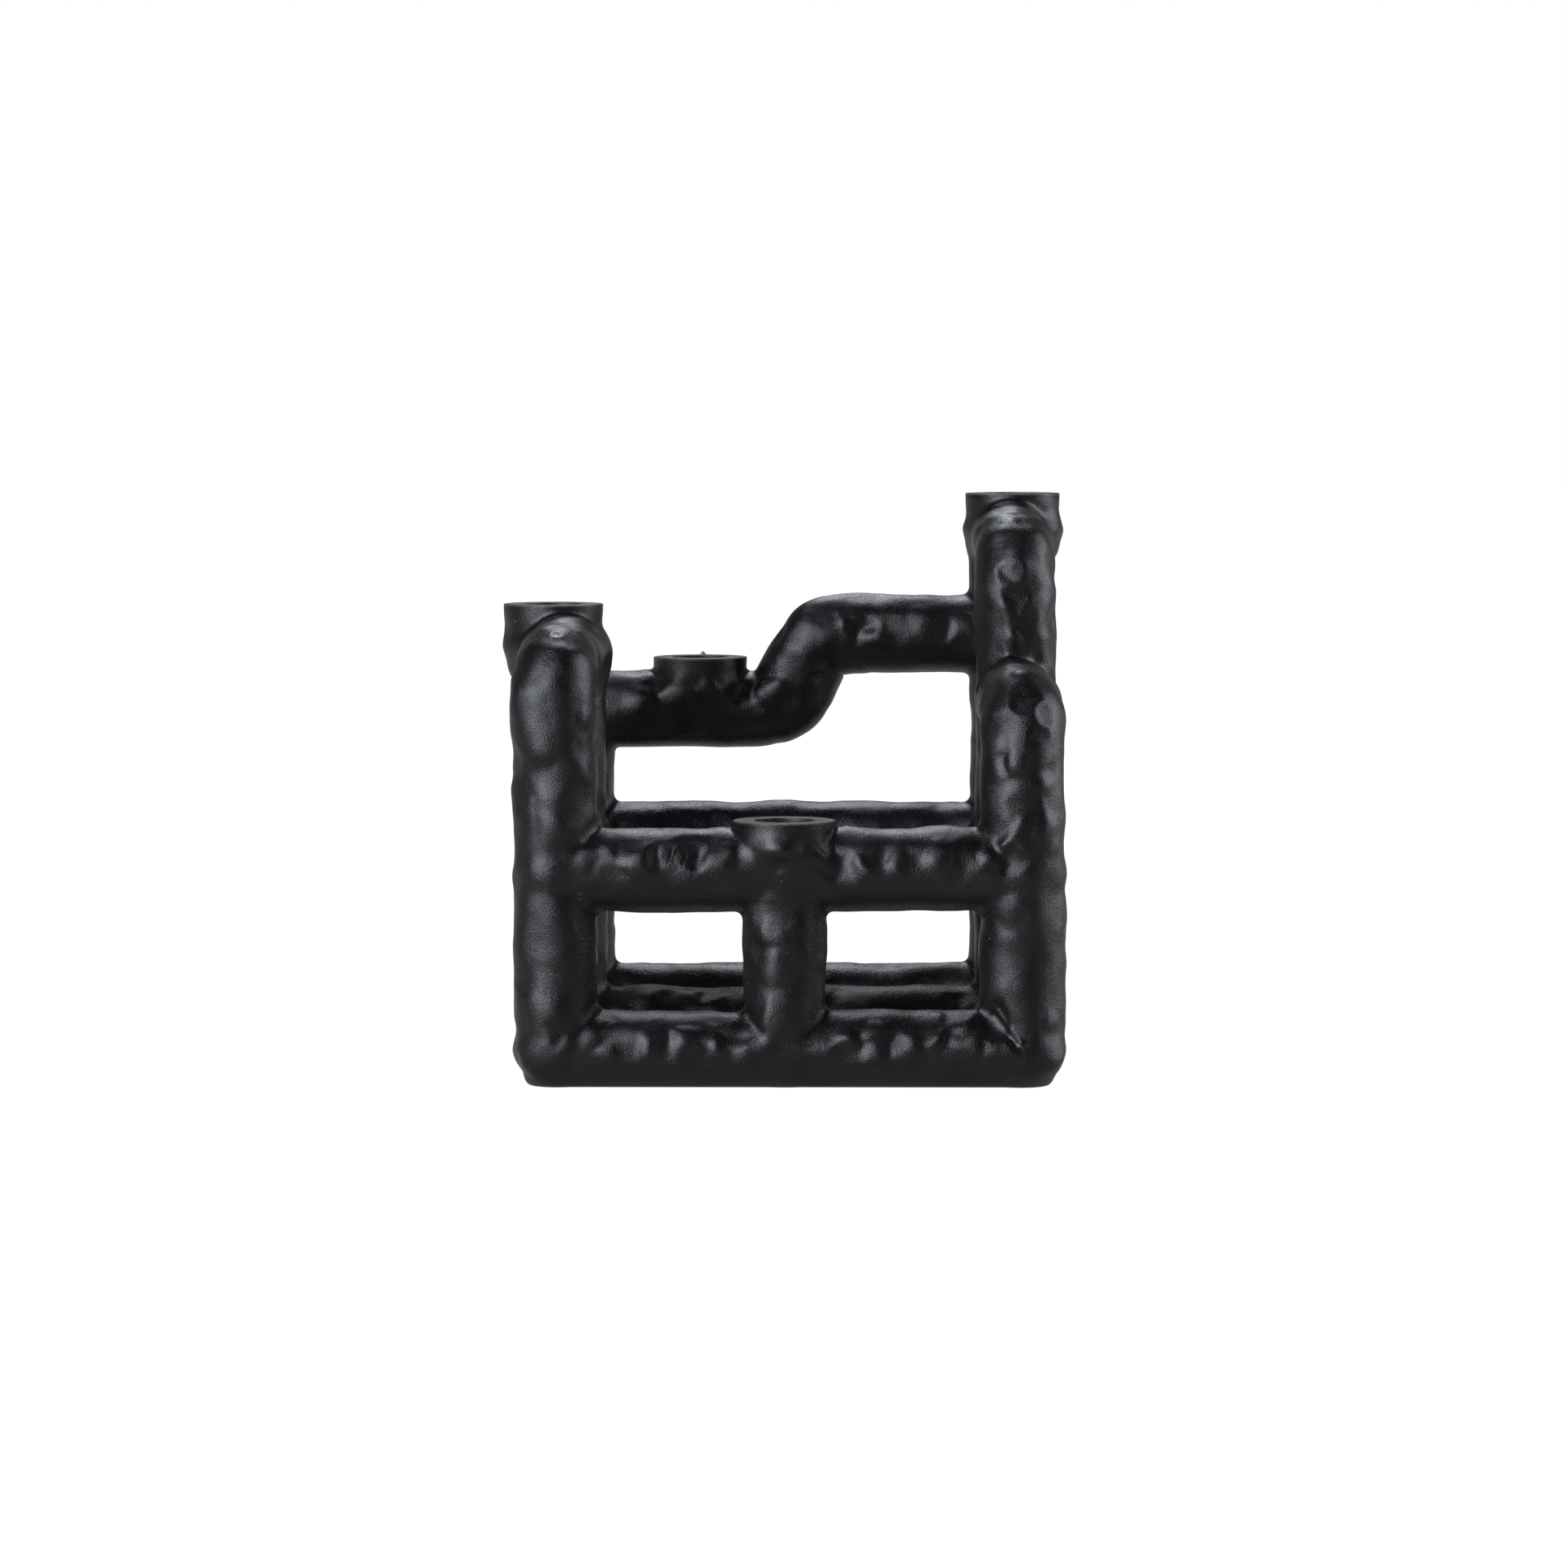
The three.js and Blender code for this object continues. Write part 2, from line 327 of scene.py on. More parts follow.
def turnover(x, y, link_z, towards, end):
    """A post that rises from its ball foot, turns over, and runs level to an end point."""
    bend = Arc(at(x, y, link_z - ELBOW_RADIUS), Z, towards, ELBOW_RADIUS, math.pi / 2)
    rise = Line(at(x, y, BASE_Z), at(x, y, link_z - ELBOW_RADIUS))
    return [rise, bend, Line(bend.point(math.pi / 2), end)]


def stepped_rail():
    """The back left post's turnover, and the double bend that lifts the rail to its high run."""
    start = at(STEP_START_X, BACK, STEP_LOW_Z)
    lower = Arc(start, X, Z, STEP_RADIUS, STEP_ANGLE)
    slope_start = lower.point(STEP_ANGLE)
    slope = lower.end_heading()
    rise = STEP_HIGH_Z - STEP_LOW_Z - 2 * STEP_RADIUS * (1 - math.cos(STEP_ANGLE))
    slope_end = slope_start + slope * rise / math.sin(STEP_ANGLE)
    outward = at(math.sin(STEP_ANGLE), 0, -math.cos(STEP_ANGLE))
    upper = Arc(slope_end, slope, outward, STEP_RADIUS, STEP_ANGLE)
    return turnover(LEFT, BACK, STEP_LOW_Z, X, start) + [
        lower,
        Line(slope_start, slope_end),
        upper,
        Line(upper.point(STEP_ANGLE), at(RIGHT, BACK, STEP_HIGH_Z)),
    ]


# The skin's cups reach this far over their rims, so that they can be cut off cleanly
OVER_RIM = 10


class Cup:
    """A candle cup's sizes. Its place and rim come from its node; it may swell into a ball below.

    wall is its radius, depth is how far its body goes down from the rim, and collar is how far under
    the rim it is turned true.
    """

    def __init__(self, name, wall, depth, foot_radius, taper, collar, ball=None):
        low, high = box(name)
        self.name = name
        self.x, self.y = (low[:2] + high[:2]) / 2
        self.rim = high[2]
        self.wall = wall
        self.foot = low[2]
        self.collar_foot = self.rim - collar
        centre = at(self.x, self.y, self.rim)
        self.shapes = [Drum(centre, self.rim - depth, foot_radius, taper, wall, self.rim + OVER_RIM)]
        if ball:
            self.shapes.append(Ball(*ball, self.rim))

    def from_axis(self, points):
        return np.hypot(points[:, 0] - self.x, points[:, 1] - self.y)


LEFT_BALL = (at(-91.0, 0, 156.8), 19.2)
RIGHT_BALL = (at(90.2, BACK, 204.1), 18.5)
CUPS = {
    cup.name: cup
    for cup in (
        Cup("front_candle_cup", 19.4, 26, foot_radius=13, taper=16, collar=1.5),
        Cup("left_candle_cup", 19.4, 24, foot_radius=13, taper=8, collar=1.8, ball=LEFT_BALL),
        Cup("back_candle_cup", 18.9, 28, foot_radius=12.5, taper=16, collar=2.6),
        Cup("right_candle_cup", 19.0, 20, foot_radius=13, taper=7, collar=1.5, ball=RIGHT_BALL),
    )
}


def lattice():
    shapes = [
        Tube(*turnover(LEFT, FRONT, LEFT_LINK_Z, Y, at(LEFT, MIDDLE, LEFT_LINK_Z))),
        Tube(*turnover(RIGHT, FRONT, LOW_LINK_Z, Y, at(RIGHT, MIDDLE, LOW_LINK_Z))),
        Tube(*turnover(RIGHT, MIDDLE, RIGHT_LINK_Z, Y, at(RIGHT, BACK, RIGHT_LINK_Z))),
        Tube(*stepped_rail()),
        Tube(Line(at(LEFT, MIDDLE, BASE_Z), at(LEFT, MIDDLE, LEFT_LINK_Z))),
        Tube(Line(at(RIGHT, BACK, BASE_Z), at(RIGHT, BACK, RIGHT_LINK_Z))),
        Tube(Line(at(CENTRE_X, FRONT, BASE_Z), at(CENTRE_X, FRONT, FRONT_RAIL_Z))),
        Tube(Line(at(LEFT, FRONT, FRONT_RAIL_Z), at(RIGHT, FRONT, FRONT_RAIL_Z))),
        Tube(Line(at(LEFT, BACK, BACK_RAIL_Z), at(RIGHT, BACK, BACK_RAIL_Z))),
    ]
    for y in (FRONT, MIDDLE, BACK):
        shapes.append(Tube(Line(at(LEFT, y, BASE_Z), at(RIGHT, y, BASE_Z))))
    for x in (LEFT, RIGHT):
        for z in (BASE_Z, SIDE_RAIL_Z):
            shapes.append(Tube(Line(at(x, FRONT, z), at(x, BACK, z))))
    for cup in CUPS.values():
        shapes += cup.shapes
    return shapes


SHAPES = lattice()


def blended(first, second, away_first, away_second, fillets, kept):
    """The union of two distances with a fillet, which is smaller where the two surfaces run together."""
    square = np.clip(1 - np.einsum("ij,ij->i", away_first, away_second), kept, 1)
    size = fillets * square
    overlap = np.clip(1 - np.abs(first - second) / size, 0, 1)
    share = np.clip(0.5 + 0.5 * (first - second) / size, 0, 1)[:, None]
    value = np.minimum(first, second) - overlap**2 * size / 4
    return value, unit(away_first * (1 - share) + away_second * share)


def skin_distance(points):
    """Signed distance to the filleted lattice with its ground flat, and the direction away from it."""
    value = np.full(len(points), FAR)
    away = np.tile(Z, (len(points), 1))
    margin = CUP_FILLET + 2
    for shape in SHAPES:
        near = np.all((points > shape.low - margin) & (points < shape.high + margin), axis=1)
        if not near.any():
            continue
        d, n = shape.distance(points[near])
        fillets = shape.fillets(points[near])
        value[near], away[near] = blended(value[near], d, away[near], n, fillets, shape.fillet_kept)
    under = -points[:, 2]
    overlap = np.clip(1 - np.abs(value - under) / GROUND_ROUND, 0, 1)
    share = np.clip(0.5 - 0.5 * (value - under) / GROUND_ROUND, 0, 1)[:, None]
    value = np.maximum(value, under) + overlap**2 * GROUND_ROUND / 4
    return value, unit(away * (1 - share) - Z * share)


# ---- The skin's mesh


def make_mesh(name, vertices, faces):
    mesh = bpy.data.meshes.new(name)
    mesh.from_pydata(vertices.tolist() if isinstance(vertices, np.ndarray) else vertices, [], faces)
    mesh.update()
    return mesh


def remeshed_union():
    """One even quad mesh round all the shapes, as (vertices, quads) in millimetres."""
    vertices, faces, count = [], [], 0
    for shape in SHAPES:
        v, f = shape.scaffold()
        vertices.append(v)
        faces += [tuple(i + count for i in face) for face in f]
        count += len(v)
    mesh = make_mesh("scaffold", np.concatenate(vertices), faces)
    holder = bpy.data.objects.new("scaffold", mesh)
    bpy.context.scene.collection.objects.link(holder)
    remesh = holder.modifiers.new("even", "REMESH")
    remesh.mode = "VOXEL"
    remesh.voxel_size = VOXEL
    remesh.adaptivity = 0
    depsgraph = bpy.context.evaluated_depsgraph_get()
    even = bpy.data.meshes.new_from_object(holder.evaluated_get(depsgraph), depsgraph=depsgraph)
    bpy.data.objects.remove(holder)
    bpy.data.meshes.remove(mesh)
    points = np.empty(len(even.vertices) * 3)
    even.vertices.foreach_get("co", points)
    corners = np.empty(len(even.loops), np.int64)
    even.loops.foreach_get("vertex_index", corners)
    assert len(corners) == 4 * len(even.polygons)
    bpy.data.meshes.remove(even)
    return points.reshape(-1, 3), corners.reshape(-1, 4)


def edges_of(quads):
    pairs = np.concatenate([quads[:, [i, (i + 1) % 4]] for i in range(4)])
    return np.unique(np.sort(pairs, axis=1), axis=0)


def neighbour_mean(values, edges):
    total = np.empty_like(values)
    ends = np.concatenate([edges[:, 0], edges[:, 1]])
    others = np.concatenate([edges[:, 1], edges[:, 0]])
    count = np.bincount(ends, minlength=len(values))
    for axis in range(values.shape[1]):
        total[:, axis] = np.bincount(ends, values[others, axis], len(values))
    return total / count[:, None]


def project(points, rounds):
    for _ in range(rounds):
        value, away = skin_distance(points)
        points = points - away * value[:, None]
    return points


def normals_of(points, triangles):
    corner = points[triangles]
    facing = np.cross(corner[:, 1] - corner[:, 0], corner[:, 2] - corner[:, 0])
    total = np.empty_like(points)
    for axis in range(3):
        along = facing[:, axis]
        total[:, axis] = sum(np.bincount(triangles[:, i], along, len(points)) for i in range(3))
    return unit(total)


def as_triangles(points, quads):
    """Each quad split along its shorter diagonal."""
    a, b, c, d = quads.T
    first = np.linalg.norm(points[a] - points[c], axis=1)
    second = np.linalg.norm(points[b] - points[d], axis=1)
    shorter = (first <= second)[:, None]
    one = np.where(shorter, np.column_stack([a, b, c]), np.column_stack([a, b, d]))
    two = np.where(shorter, np.column_stack([a, c, d]), np.column_stack([b, c, d]))
    return np.concatenate([one, two])


def rolled(rows, shift):
    """Each row of three turned round by its own shift."""
    return np.take_along_axis(rows, (np.arange(3) + shift[:, None]) % 3, axis=1)


def refined(points, triangles, wanted):
    """Splits the triangles with a wanted corner into four, and their neighbours to match."""
    count = len(points)
    sides = [triangles[:, [i, (i + 1) % 3]] for i in range(3)]
    ends = np.sort(np.stack(sides, axis=1), axis=2)
    keys = ends[..., 0] * count + ends[..., 1]
    split = np.unique(keys[wanted[triangles].any(1)])
    marked = np.isin(keys, split)
    halfway = count + np.searchsorted(split, keys)
    points = np.concatenate([points, (points[split // count] + points[split % count]) / 2])
    splits = marked.sum(1)
    result = [triangles[splits == 0]]

    t, m = triangles[splits == 3], halfway[splits == 3]
    result += [np.column_stack([t[:, i], m[:, i], m[:, i - 1]]) for i in range(3)] + [m]

    one = splits == 1
    shift = np.argmax(marked[one], axis=1)
    t, m = rolled(triangles[one], shift), rolled(halfway[one], shift)
    result += [
        np.column_stack([t[:, 0], m[:, 0], t[:, 2]]),
        np.column_stack([m[:, 0], t[:, 1], t[:, 2]]),
    ]

    two = splits == 2
    shift = np.argmin(marked[two], axis=1) + 1
    t, m = rolled(triangles[two], shift), rolled(halfway[two], shift)
    result += [
        np.column_stack([m[:, 0], t[:, 1], m[:, 1]]),
        np.column_stack([t[:, 0], m[:, 0], m[:, 1]]),
        np.column_stack([t[:, 0], m[:, 1], t[:, 2]]),
    ]
    return points, np.concatenate(result)


def smooth_skin():
    """The filleted lattice before it is worked, as (points, triangles)."""
    points, quads = remeshed_union()
    edges = edges_of(quads)
    points = project(points, PROJECT_ROUNDS)
    for _ in range(RELAX_ROUNDS):
        points = points + RELAX_SHARE * (neighbour_mean(points, edges) - points)
        points = project(points, 1)
    points = project(points, 1)
    triangles = as_triangles(points, quads)
    for reach in FINE_REACHES:
        points, triangles = refined(points, triangles, near_fine_marks(points, reach))
    return project(points, 1), triangles


# ---- The hand-worked surface


def waves(points, wavelength, seed, count=28):
    """A smooth random field of about unit size, with lumps half a wavelength wide."""
    rng = np.random.default_rng(seed)
    directions = unit(rng.normal(size=(count, 3)))
    lengths = wavelength * rng.uniform(0.75, 1.35, count)
    phases = rng.uniform(0, 2 * math.pi, count)
    total = np.zeros(len(points))
    for direction, length, phase in zip(directions, lengths, phases):
        total += np.sin(points @ direction * (2 * math.pi / length) + phase)
    return total / math.sqrt(count / 2)


def front_faces(places):
    """The points that one meets first at each (row, x, z), going back from in front of that row."""
    points = np.array([(x, ROWS[row] - 40, z) for row, x, z in places])
    for _ in range(50):
        points = points + np.minimum(skin_distance(points)[0], 6.0)[:, None] * Y
    return points


# Lumps (+) and dents (-) that stand out from the front: x, z, radius and height
LUMPS = {
    "front": (
        (-87.7, 170.4, 3.6, 0.35), (-87.4, 170.6, 1.9, -0.65), (-76, 139, 4, 0.55),
        (-77, 118.7, 4.5, 0.5), (-97.5, 107, 3.5, 0.4), (-103, 122.5, 7, -0.8), (-88, 116, 6, -0.5),
        (-80, 104, 6, -0.4), (-86.5, 98, 5, 0.6), (-76.5, 87.5, 5, 0.7), (-93, 125.5, 5, 0.45),
        (-68, 90.5, 4, 0.5), (-56.5, 86.5, 6, 0.75), (-62.5, 81, 4.5, -0.5), (-42.5, 87.5, 5.5, 0.75),
        (-34.5, 88, 4.5, -0.5), (-25, 86, 4.5, 0.65), (-50, 86, 4, -0.5), (-2.5, 90.5, 7.5, 1.6),
        (-4.1, 84.6, 3.6, -1), (13.5, 90, 5.5, 0.8), (22.5, 85, 4.5, -0.5), (28.5, 83, 5, 0.7),
        (34, 86, 4, -0.5), (40.5, 82.5, 5, 0.75), (47.5, 86, 5, -0.5), (56, 86.5, 4.8, 0.75),
        (33, 92, 5, 0.3), (62.5, 82, 5, -0.5), (-8.5, 58.5, 5, 0.6), (-6, 44.5, 5.5, 0.6),
        (-11.5, 51, 5, -0.4), (-7.5, 24.5, 7, 1), (-11.5, 15, 5, 0.6), (-21, 19.5, 5, -0.6),
        (-74, 21.5, 5.5, 0.7), (-67.5, 10.5, 4, 0.5), (-51.5, 13.5, 5, 0.8), (-59.5, 14.5, 4.5, -0.5),
        (-38.5, 18.5, 5, 0.9), (-45.5, 16.5, 4.5, -0.6), (-28, 16.5, 5.5, 0.8), (-34, 12, 4.5, -0.4),
        (-53, 19.5, 4, 0.4), (-84, 15.5, 5, 0.6), (-15.5, 11.5, 4, 0.6), (21.5, 19, 5, 0.9),
        (15.5, 13, 5, 0.6), (27, 16, 4.5, -0.5), (33.5, 22, 4.5, 0.7), (33, 11.5, 4.5, 0.7),
        (39, 17, 4.5, -0.5), (46.5, 15, 6, 0.7), (56, 19, 4.5, 0.8), (61, 26.5, 4.5, -0.7),
        (66, 23.5, 3, 0.5), (67, 16, 4, 0.6), (80.5, 14.5, 5.5, 0.7), (98.5, 25, 4, 0.5),
        (87, 154.5, 5, 0.7), (87.5, 146.8, 5.4, -1.1), (95.4, 140.8, 3.2, -0.8),
        (94.3, 132.6, 4.8, -0.6), (84, 121.5, 4.5, 0.8), (79.5, 124, 4, -0.5), (77.5, 120, 4, 0.5),
        (77, 87, 4.5, 0.8), (84, 93, 5, 0.6), (84, 86.5, 4.5, -0.5), (84, 67.5, 5, 0.5),
        (95.5, 115, 5, 0.5), (96, 98, 5, 0.5), (91, 105, 6, -0.5),
    ),
    "middle": (
        (83.8, 189.2, 3.6, -0.8), (87.3, 181.5, 4.6, -0.9), (92.5, 185, 5, -0.6),
        (85.2, 206.4, 4.5, -0.35), (85.5, 212, 3.5, 0.3), (91, 170, 5, -0.5), (102.5, 191, 6, -0.7),
        (102, 170.5, 6, -0.9), (84, 164, 5, 0.4), (-56, 24.5, 5.5, 0.7), (-47, 25, 4.5, -0.5),
        (-38, 25.5, 5, 0.5), (-29, 23.5, 4, 0.6), (-33.5, 25.5, 3.5, -0.5), (65.5, 25, 3.6, -0.6),
    ),
    "back": (
        (-61, 135.5, 5, 0.8), (-46.5, 139.5, 6.5, 0.8), (-34.5, 140, 4, 0.5), (-56, 141.5, 4, -0.5),
        (-21, 144, 4.5, 0.5), (-12, 138.5, 5, 0.9), (-6.5, 142, 5, 0.6), (-17.5, 138.5, 4, -0.6),
        (2, 156.5, 7, 0.6), (10, 165, 6.5, 0.6), (21.5, 167.5, 4.5, 0.7), (27.8, 165.2, 5, -1.1),
        (34.5, 161, 5, 0.8), (68.5, 166, 5, 0.6), (53.5, 168, 6, 0.5), (61, 163, 5, -0.5),
        (4.5, 140, 4.5, 0.5), (-5, 162, 4, -0.5),
    ),
}


# Swellings of the sides and crests: x, y, z, radius and height. Each is moved on to the skin.
BULGES = (
    (LEFT - SKIN_RADIUS, FRONT, 137, 22, 1.3),
    (LEFT - SKIN_RADIUS, FRONT, 151, 16, 0.9),
    (LEFT - SKIN_RADIUS, FRONT, 106, 15, 0.8),
    (LEFT - SKIN_RADIUS, FRONT, 85, 14, 0.6),
    (LEFT - SKIN_RADIUS, FRONT, 31, 11, 0.7),
    (12, BACK, 127.5, 20, 2.6),
    (20, BACK, 143, 13, 1.3),
    (12, BACK, STEP_HIGH_Z + SKIN_RADIUS, 22, 0.9),
    (32, BACK, STEP_HIGH_Z + SKIN_RADIUS, 18, 0.5),
    (RIGHT - SKIN_RADIUS, MIDDLE, 184, 13, 0.6),
    (RIGHT + SKIN_RADIUS, MIDDLE, 184, 13, 0.7),
    (RIGHT + SKIN_RADIUS, FRONT, 145, 15, 0.6),
    (RIGHT + SKIN_RADIUS, FRONT, 38, 17, 0.6),
    (CENTRE_X + SKIN_RADIUS, FRONT, 53, 11, 0.8),
    (-40, FRONT, FRONT_RAIL_Z - SKIN_RADIUS, 28, 0.8),
    (LEFT, FRONT + 12, LEFT_LINK_Z + SKIN_RADIUS, 21, -1.9),
    (LEFT, FRONT + 34, LEFT_LINK_Z + SKIN_RADIUS, 22, -1.8),
    (LEFT, FRONT + 54, LEFT_LINK_Z + SKIN_RADIUS, 20, -2.0),
    (RIGHT, MIDDLE + 10, RIGHT_LINK_Z + SKIN_RADIUS, 21, -3.2),
    (RIGHT, MIDDLE + 32, RIGHT_LINK_Z + SKIN_RADIUS, 22, -2.8),
    (RIGHT, MIDDLE + 54, RIGHT_LINK_Z + SKIN_RADIUS, 22, -3.2),
    (LEFT - 11, FRONT, 3.5, 13, -1.6),
    (RIGHT + 11, FRONT, 3.5, 13, -1.5),
)

# Grooves (-) and ridges (+): row, x and z of both ends, width and height
GROOVES = (
    ("front", (75.4, 27.6), (84.6, 17.2), 1.5, -0.7),
    ("front", (77.4, 28.6), (87.0, 18.0), 1.3, 0.4),
    ("front", (72.8, 83.5), (75.8, 92.0), 2.6, 0.5),
    ("front", (75.8, 92.4), (80.9, 91.3), 2.4, 0.4),
    ("front", (80.9, 91.3), (87.2, 100.3), 2.2, 0.7),
    ("front", (79.5, 84.0), (80.5, 87.0), 3.0, -0.5),
    ("front", (-43.4, 90.4), (-44.8, 85.2), 0.7, -0.12),
    ("front", (-41.8, 89.8), (-43.0, 85.6), 0.6, -0.08),
    ("front", (-38.3, 88.2), (-39.6, 84.8), 0.7, -0.18),
    ("front", (-35.6, 87.4), (-36.3, 84.6), 0.6, -0.08),
    ("front", (9.4, 92.6), (13.2, 88.4), 1.0, -0.14),
    ("front", (17.0, 92.2), (17.6, 89.2), 0.8, -0.12),
    ("middle", (85.4, 179.5), (90.0, 164.0), 2.6, -0.6),
    ("middle", (83.2, 177.0), (87.6, 163.0), 3.0, 0.5),
    ("middle", (82.6, 191.4), (87.4, 186.0), 2.0, -0.35),
)

# Grooves narrower than this are fine marks. The mesh is split twice round them and on the bead, out to
# the first of these distances and then to the second
FINE_WIDTH = 1.45
FINE_REACHES = (2.0, 0.8)

# The bead where the low right link meets its post: how far it reaches, its height, and the pitch and
# height of its fine rings
BEAD_REACH = 5.5
BEAD_HEIGHT = 0.9
BEAD_PITCH = 1.3
BEAD_RINGS = 0.11

ROWS = {"front": FRONT, "middle": MIDDLE, "back": BACK}
GROOVE_STARTS = front_faces([(groove[0], *groove[1]) for groove in GROOVES])
GROOVE_ENDS = front_faces([(groove[0], *groove[2]) for groove in GROOVES])
GROOVES_ON_SKIN = [
    (start, end, *groove[3:]) for start, end, groove in zip(GROOVE_STARTS, GROOVE_ENDS, GROOVES)
]


def from_segment(points, start, end):
    return np.linalg.norm(points - Line(start, end).nearest(points), axis=1)


def bead_share(points):
    """Where the bead is on the low right link, and how far each point is from the post."""
    from_link = np.hypot(points[:, 0] - RIGHT, points[:, 2] - LOW_LINK_Z) - SKIN_RADIUS
    from_post = np.hypot(points[:, 0] - RIGHT, points[:, 1] - MIDDLE) - SKIN_RADIUS
    share = fade(from_post, 0.3, 2.0) * (1 - fade(from_post, 0.5 * BEAD_REACH, BEAD_REACH))
    share *= (1 - fade(from_link, 1.5, 3.5)) * fade(MIDDLE - points[:, 1], 2, 8)
    return share * fade(points[:, 2], LOW_LINK_Z - 10, LOW_LINK_Z + 2), from_post


def near_fine_marks(points, reach):
    near = bead_share(points)[0] > 0.02
    for start, end, width, _height in GROOVES_ON_SKIN:
        if width < FINE_WIDTH:
            near |= from_segment(points, start, end) < 2.2 * width + reach
    return near


def add_bowl(height, tree, centre, radius, depth, power):
    """Adds a smooth round lump or dent to the heights near its centre, pointed where power is high."""
    found = tree.find_range(centre, radius)
    if not found:
        return
    indices = np.array([f[1] for f in found])
    share = np.array([f[2] for f in found]) / radius
    height[indices] += depth * (1 - share**2) ** power


# The dents all over: how many, and the ranges of their radii and depths
HAMMER_DENTS = 1100
HAMMER_RADII = (4.5, 10.5)
HAMMER_DEPTHS = (0.1, 0.5)
UNDERSIDE_SHARE = 0.35

# How much wider and higher a lump's bowl is than the radius and height at which it shows
LUMP_WIDER = 1.5
LUMP_HIGHER = 1.35

# How pointed each kind of bowl is
HAMMER_POWER = 1.6
LUMP_POWER = 1.8
BULGE_POWER = 1.4

# The waves all over: wavelength and height
WAVES = ((34, 0.34), (18, 0.22), (8.5, 0.045))


def bent(points):
    """The points moved about a little, so that lumps and dents measured there aren't quite round."""
    return points + 0.9 * np.column_stack([waves(points, 12, SEED + 20 + axis) for axis in range(3)])


def worked(points, normals):
    """How far the surface stands out from its true shape at each point."""
    height = sum(size * waves(points, length, SEED + i) for i, (length, size) in enumerate(WAVES))
    height *= 1 - 0.6 * fade(-normals[:, 2], 0.1, 0.7)
    places = bent(points)
    tree = kdtree.KDTree(len(points))
    for i, place in enumerate(places.tolist()):
        tree.insert(place, i)
    tree.balance()
    rng = np.random.default_rng(SEED + 3)
    for index in rng.choice(len(points), HAMMER_DENTS, replace=False):
        radius, depth = rng.uniform(*HAMMER_RADII), rng.uniform(*HAMMER_DEPTHS)
        if normals[index, 2] < -0.3:
            depth *= UNDERSIDE_SHARE
        add_bowl(height, tree, places[index], radius, -depth, HAMMER_POWER)
    lumps = [(row, *lump) for row in LUMPS for lump in LUMPS[row]]
    centres = front_faces([lump[:3] for lump in lumps])
    for centre, (_row, _x, _z, radius, depth) in zip(bent(centres), lumps):
        add_bowl(height, tree, centre, LUMP_WIDER * radius, LUMP_HIGHER * depth, LUMP_POWER)
    centres = project(np.array([bulge[:3] for bulge in BULGES]), PROJECT_ROUNDS)
    for centre, (_x, _y, _z, radius, depth) in zip(bent(centres), BULGES):
        add_bowl(height, tree, centre, radius, depth, BULGE_POWER)
    for start, end, width, depth in GROOVES_ON_SKIN:
        height += depth * np.exp(-((from_segment(points, start, end) / width) ** 2))
    share, from_post = bead_share(points)
    height += share * (BEAD_HEIGHT + BEAD_RINGS * np.cos(2 * math.pi * from_post / BEAD_PITCH))
    return height


def freedom(points):
    """1 where the surface is worked freely, down to 0 on the ground flat and nearly 0 on the collars."""
    share = fade(points[:, 2], 0.4, 5)
    for cup in CUPS.values():
        near_rim = 1 - fade(cup.rim - points[:, 2], 2, 10)
        near_wall = 1 - fade(cup.from_axis(points), cup.wall + 0.4, cup.wall + 4)
        share = np.minimum(share, 1 - 0.92 * near_rim * near_wall)
    return share


def kept_below_collars(before, after):
    """Keeps lumps on the tubes' crests a little under the height where a turned collar starts."""
    after = after.copy()
    for cup in CUPS.values():
        from_axis = cup.from_axis(before)
        outside = (from_axis > cup.wall + 0.6) & (from_axis < cup.wall + 14)
        limit = np.maximum(cup.collar_foot - 0.2, before[:, 2])
        after[:, 2] = np.where(outside, np.minimum(after[:, 2], limit), after[:, 2])
    return after


# ---- Cutting the skin into pieces

# How far a post's box reaches from its axis, and a cup's from its own
STUB = TUBE_RADIUS + 3
CUP_REACH = 22.5

# The heights that part the base rails from the rails at half height, and those from the rest
BASE_TOP = 45
HALF_TOP = 110


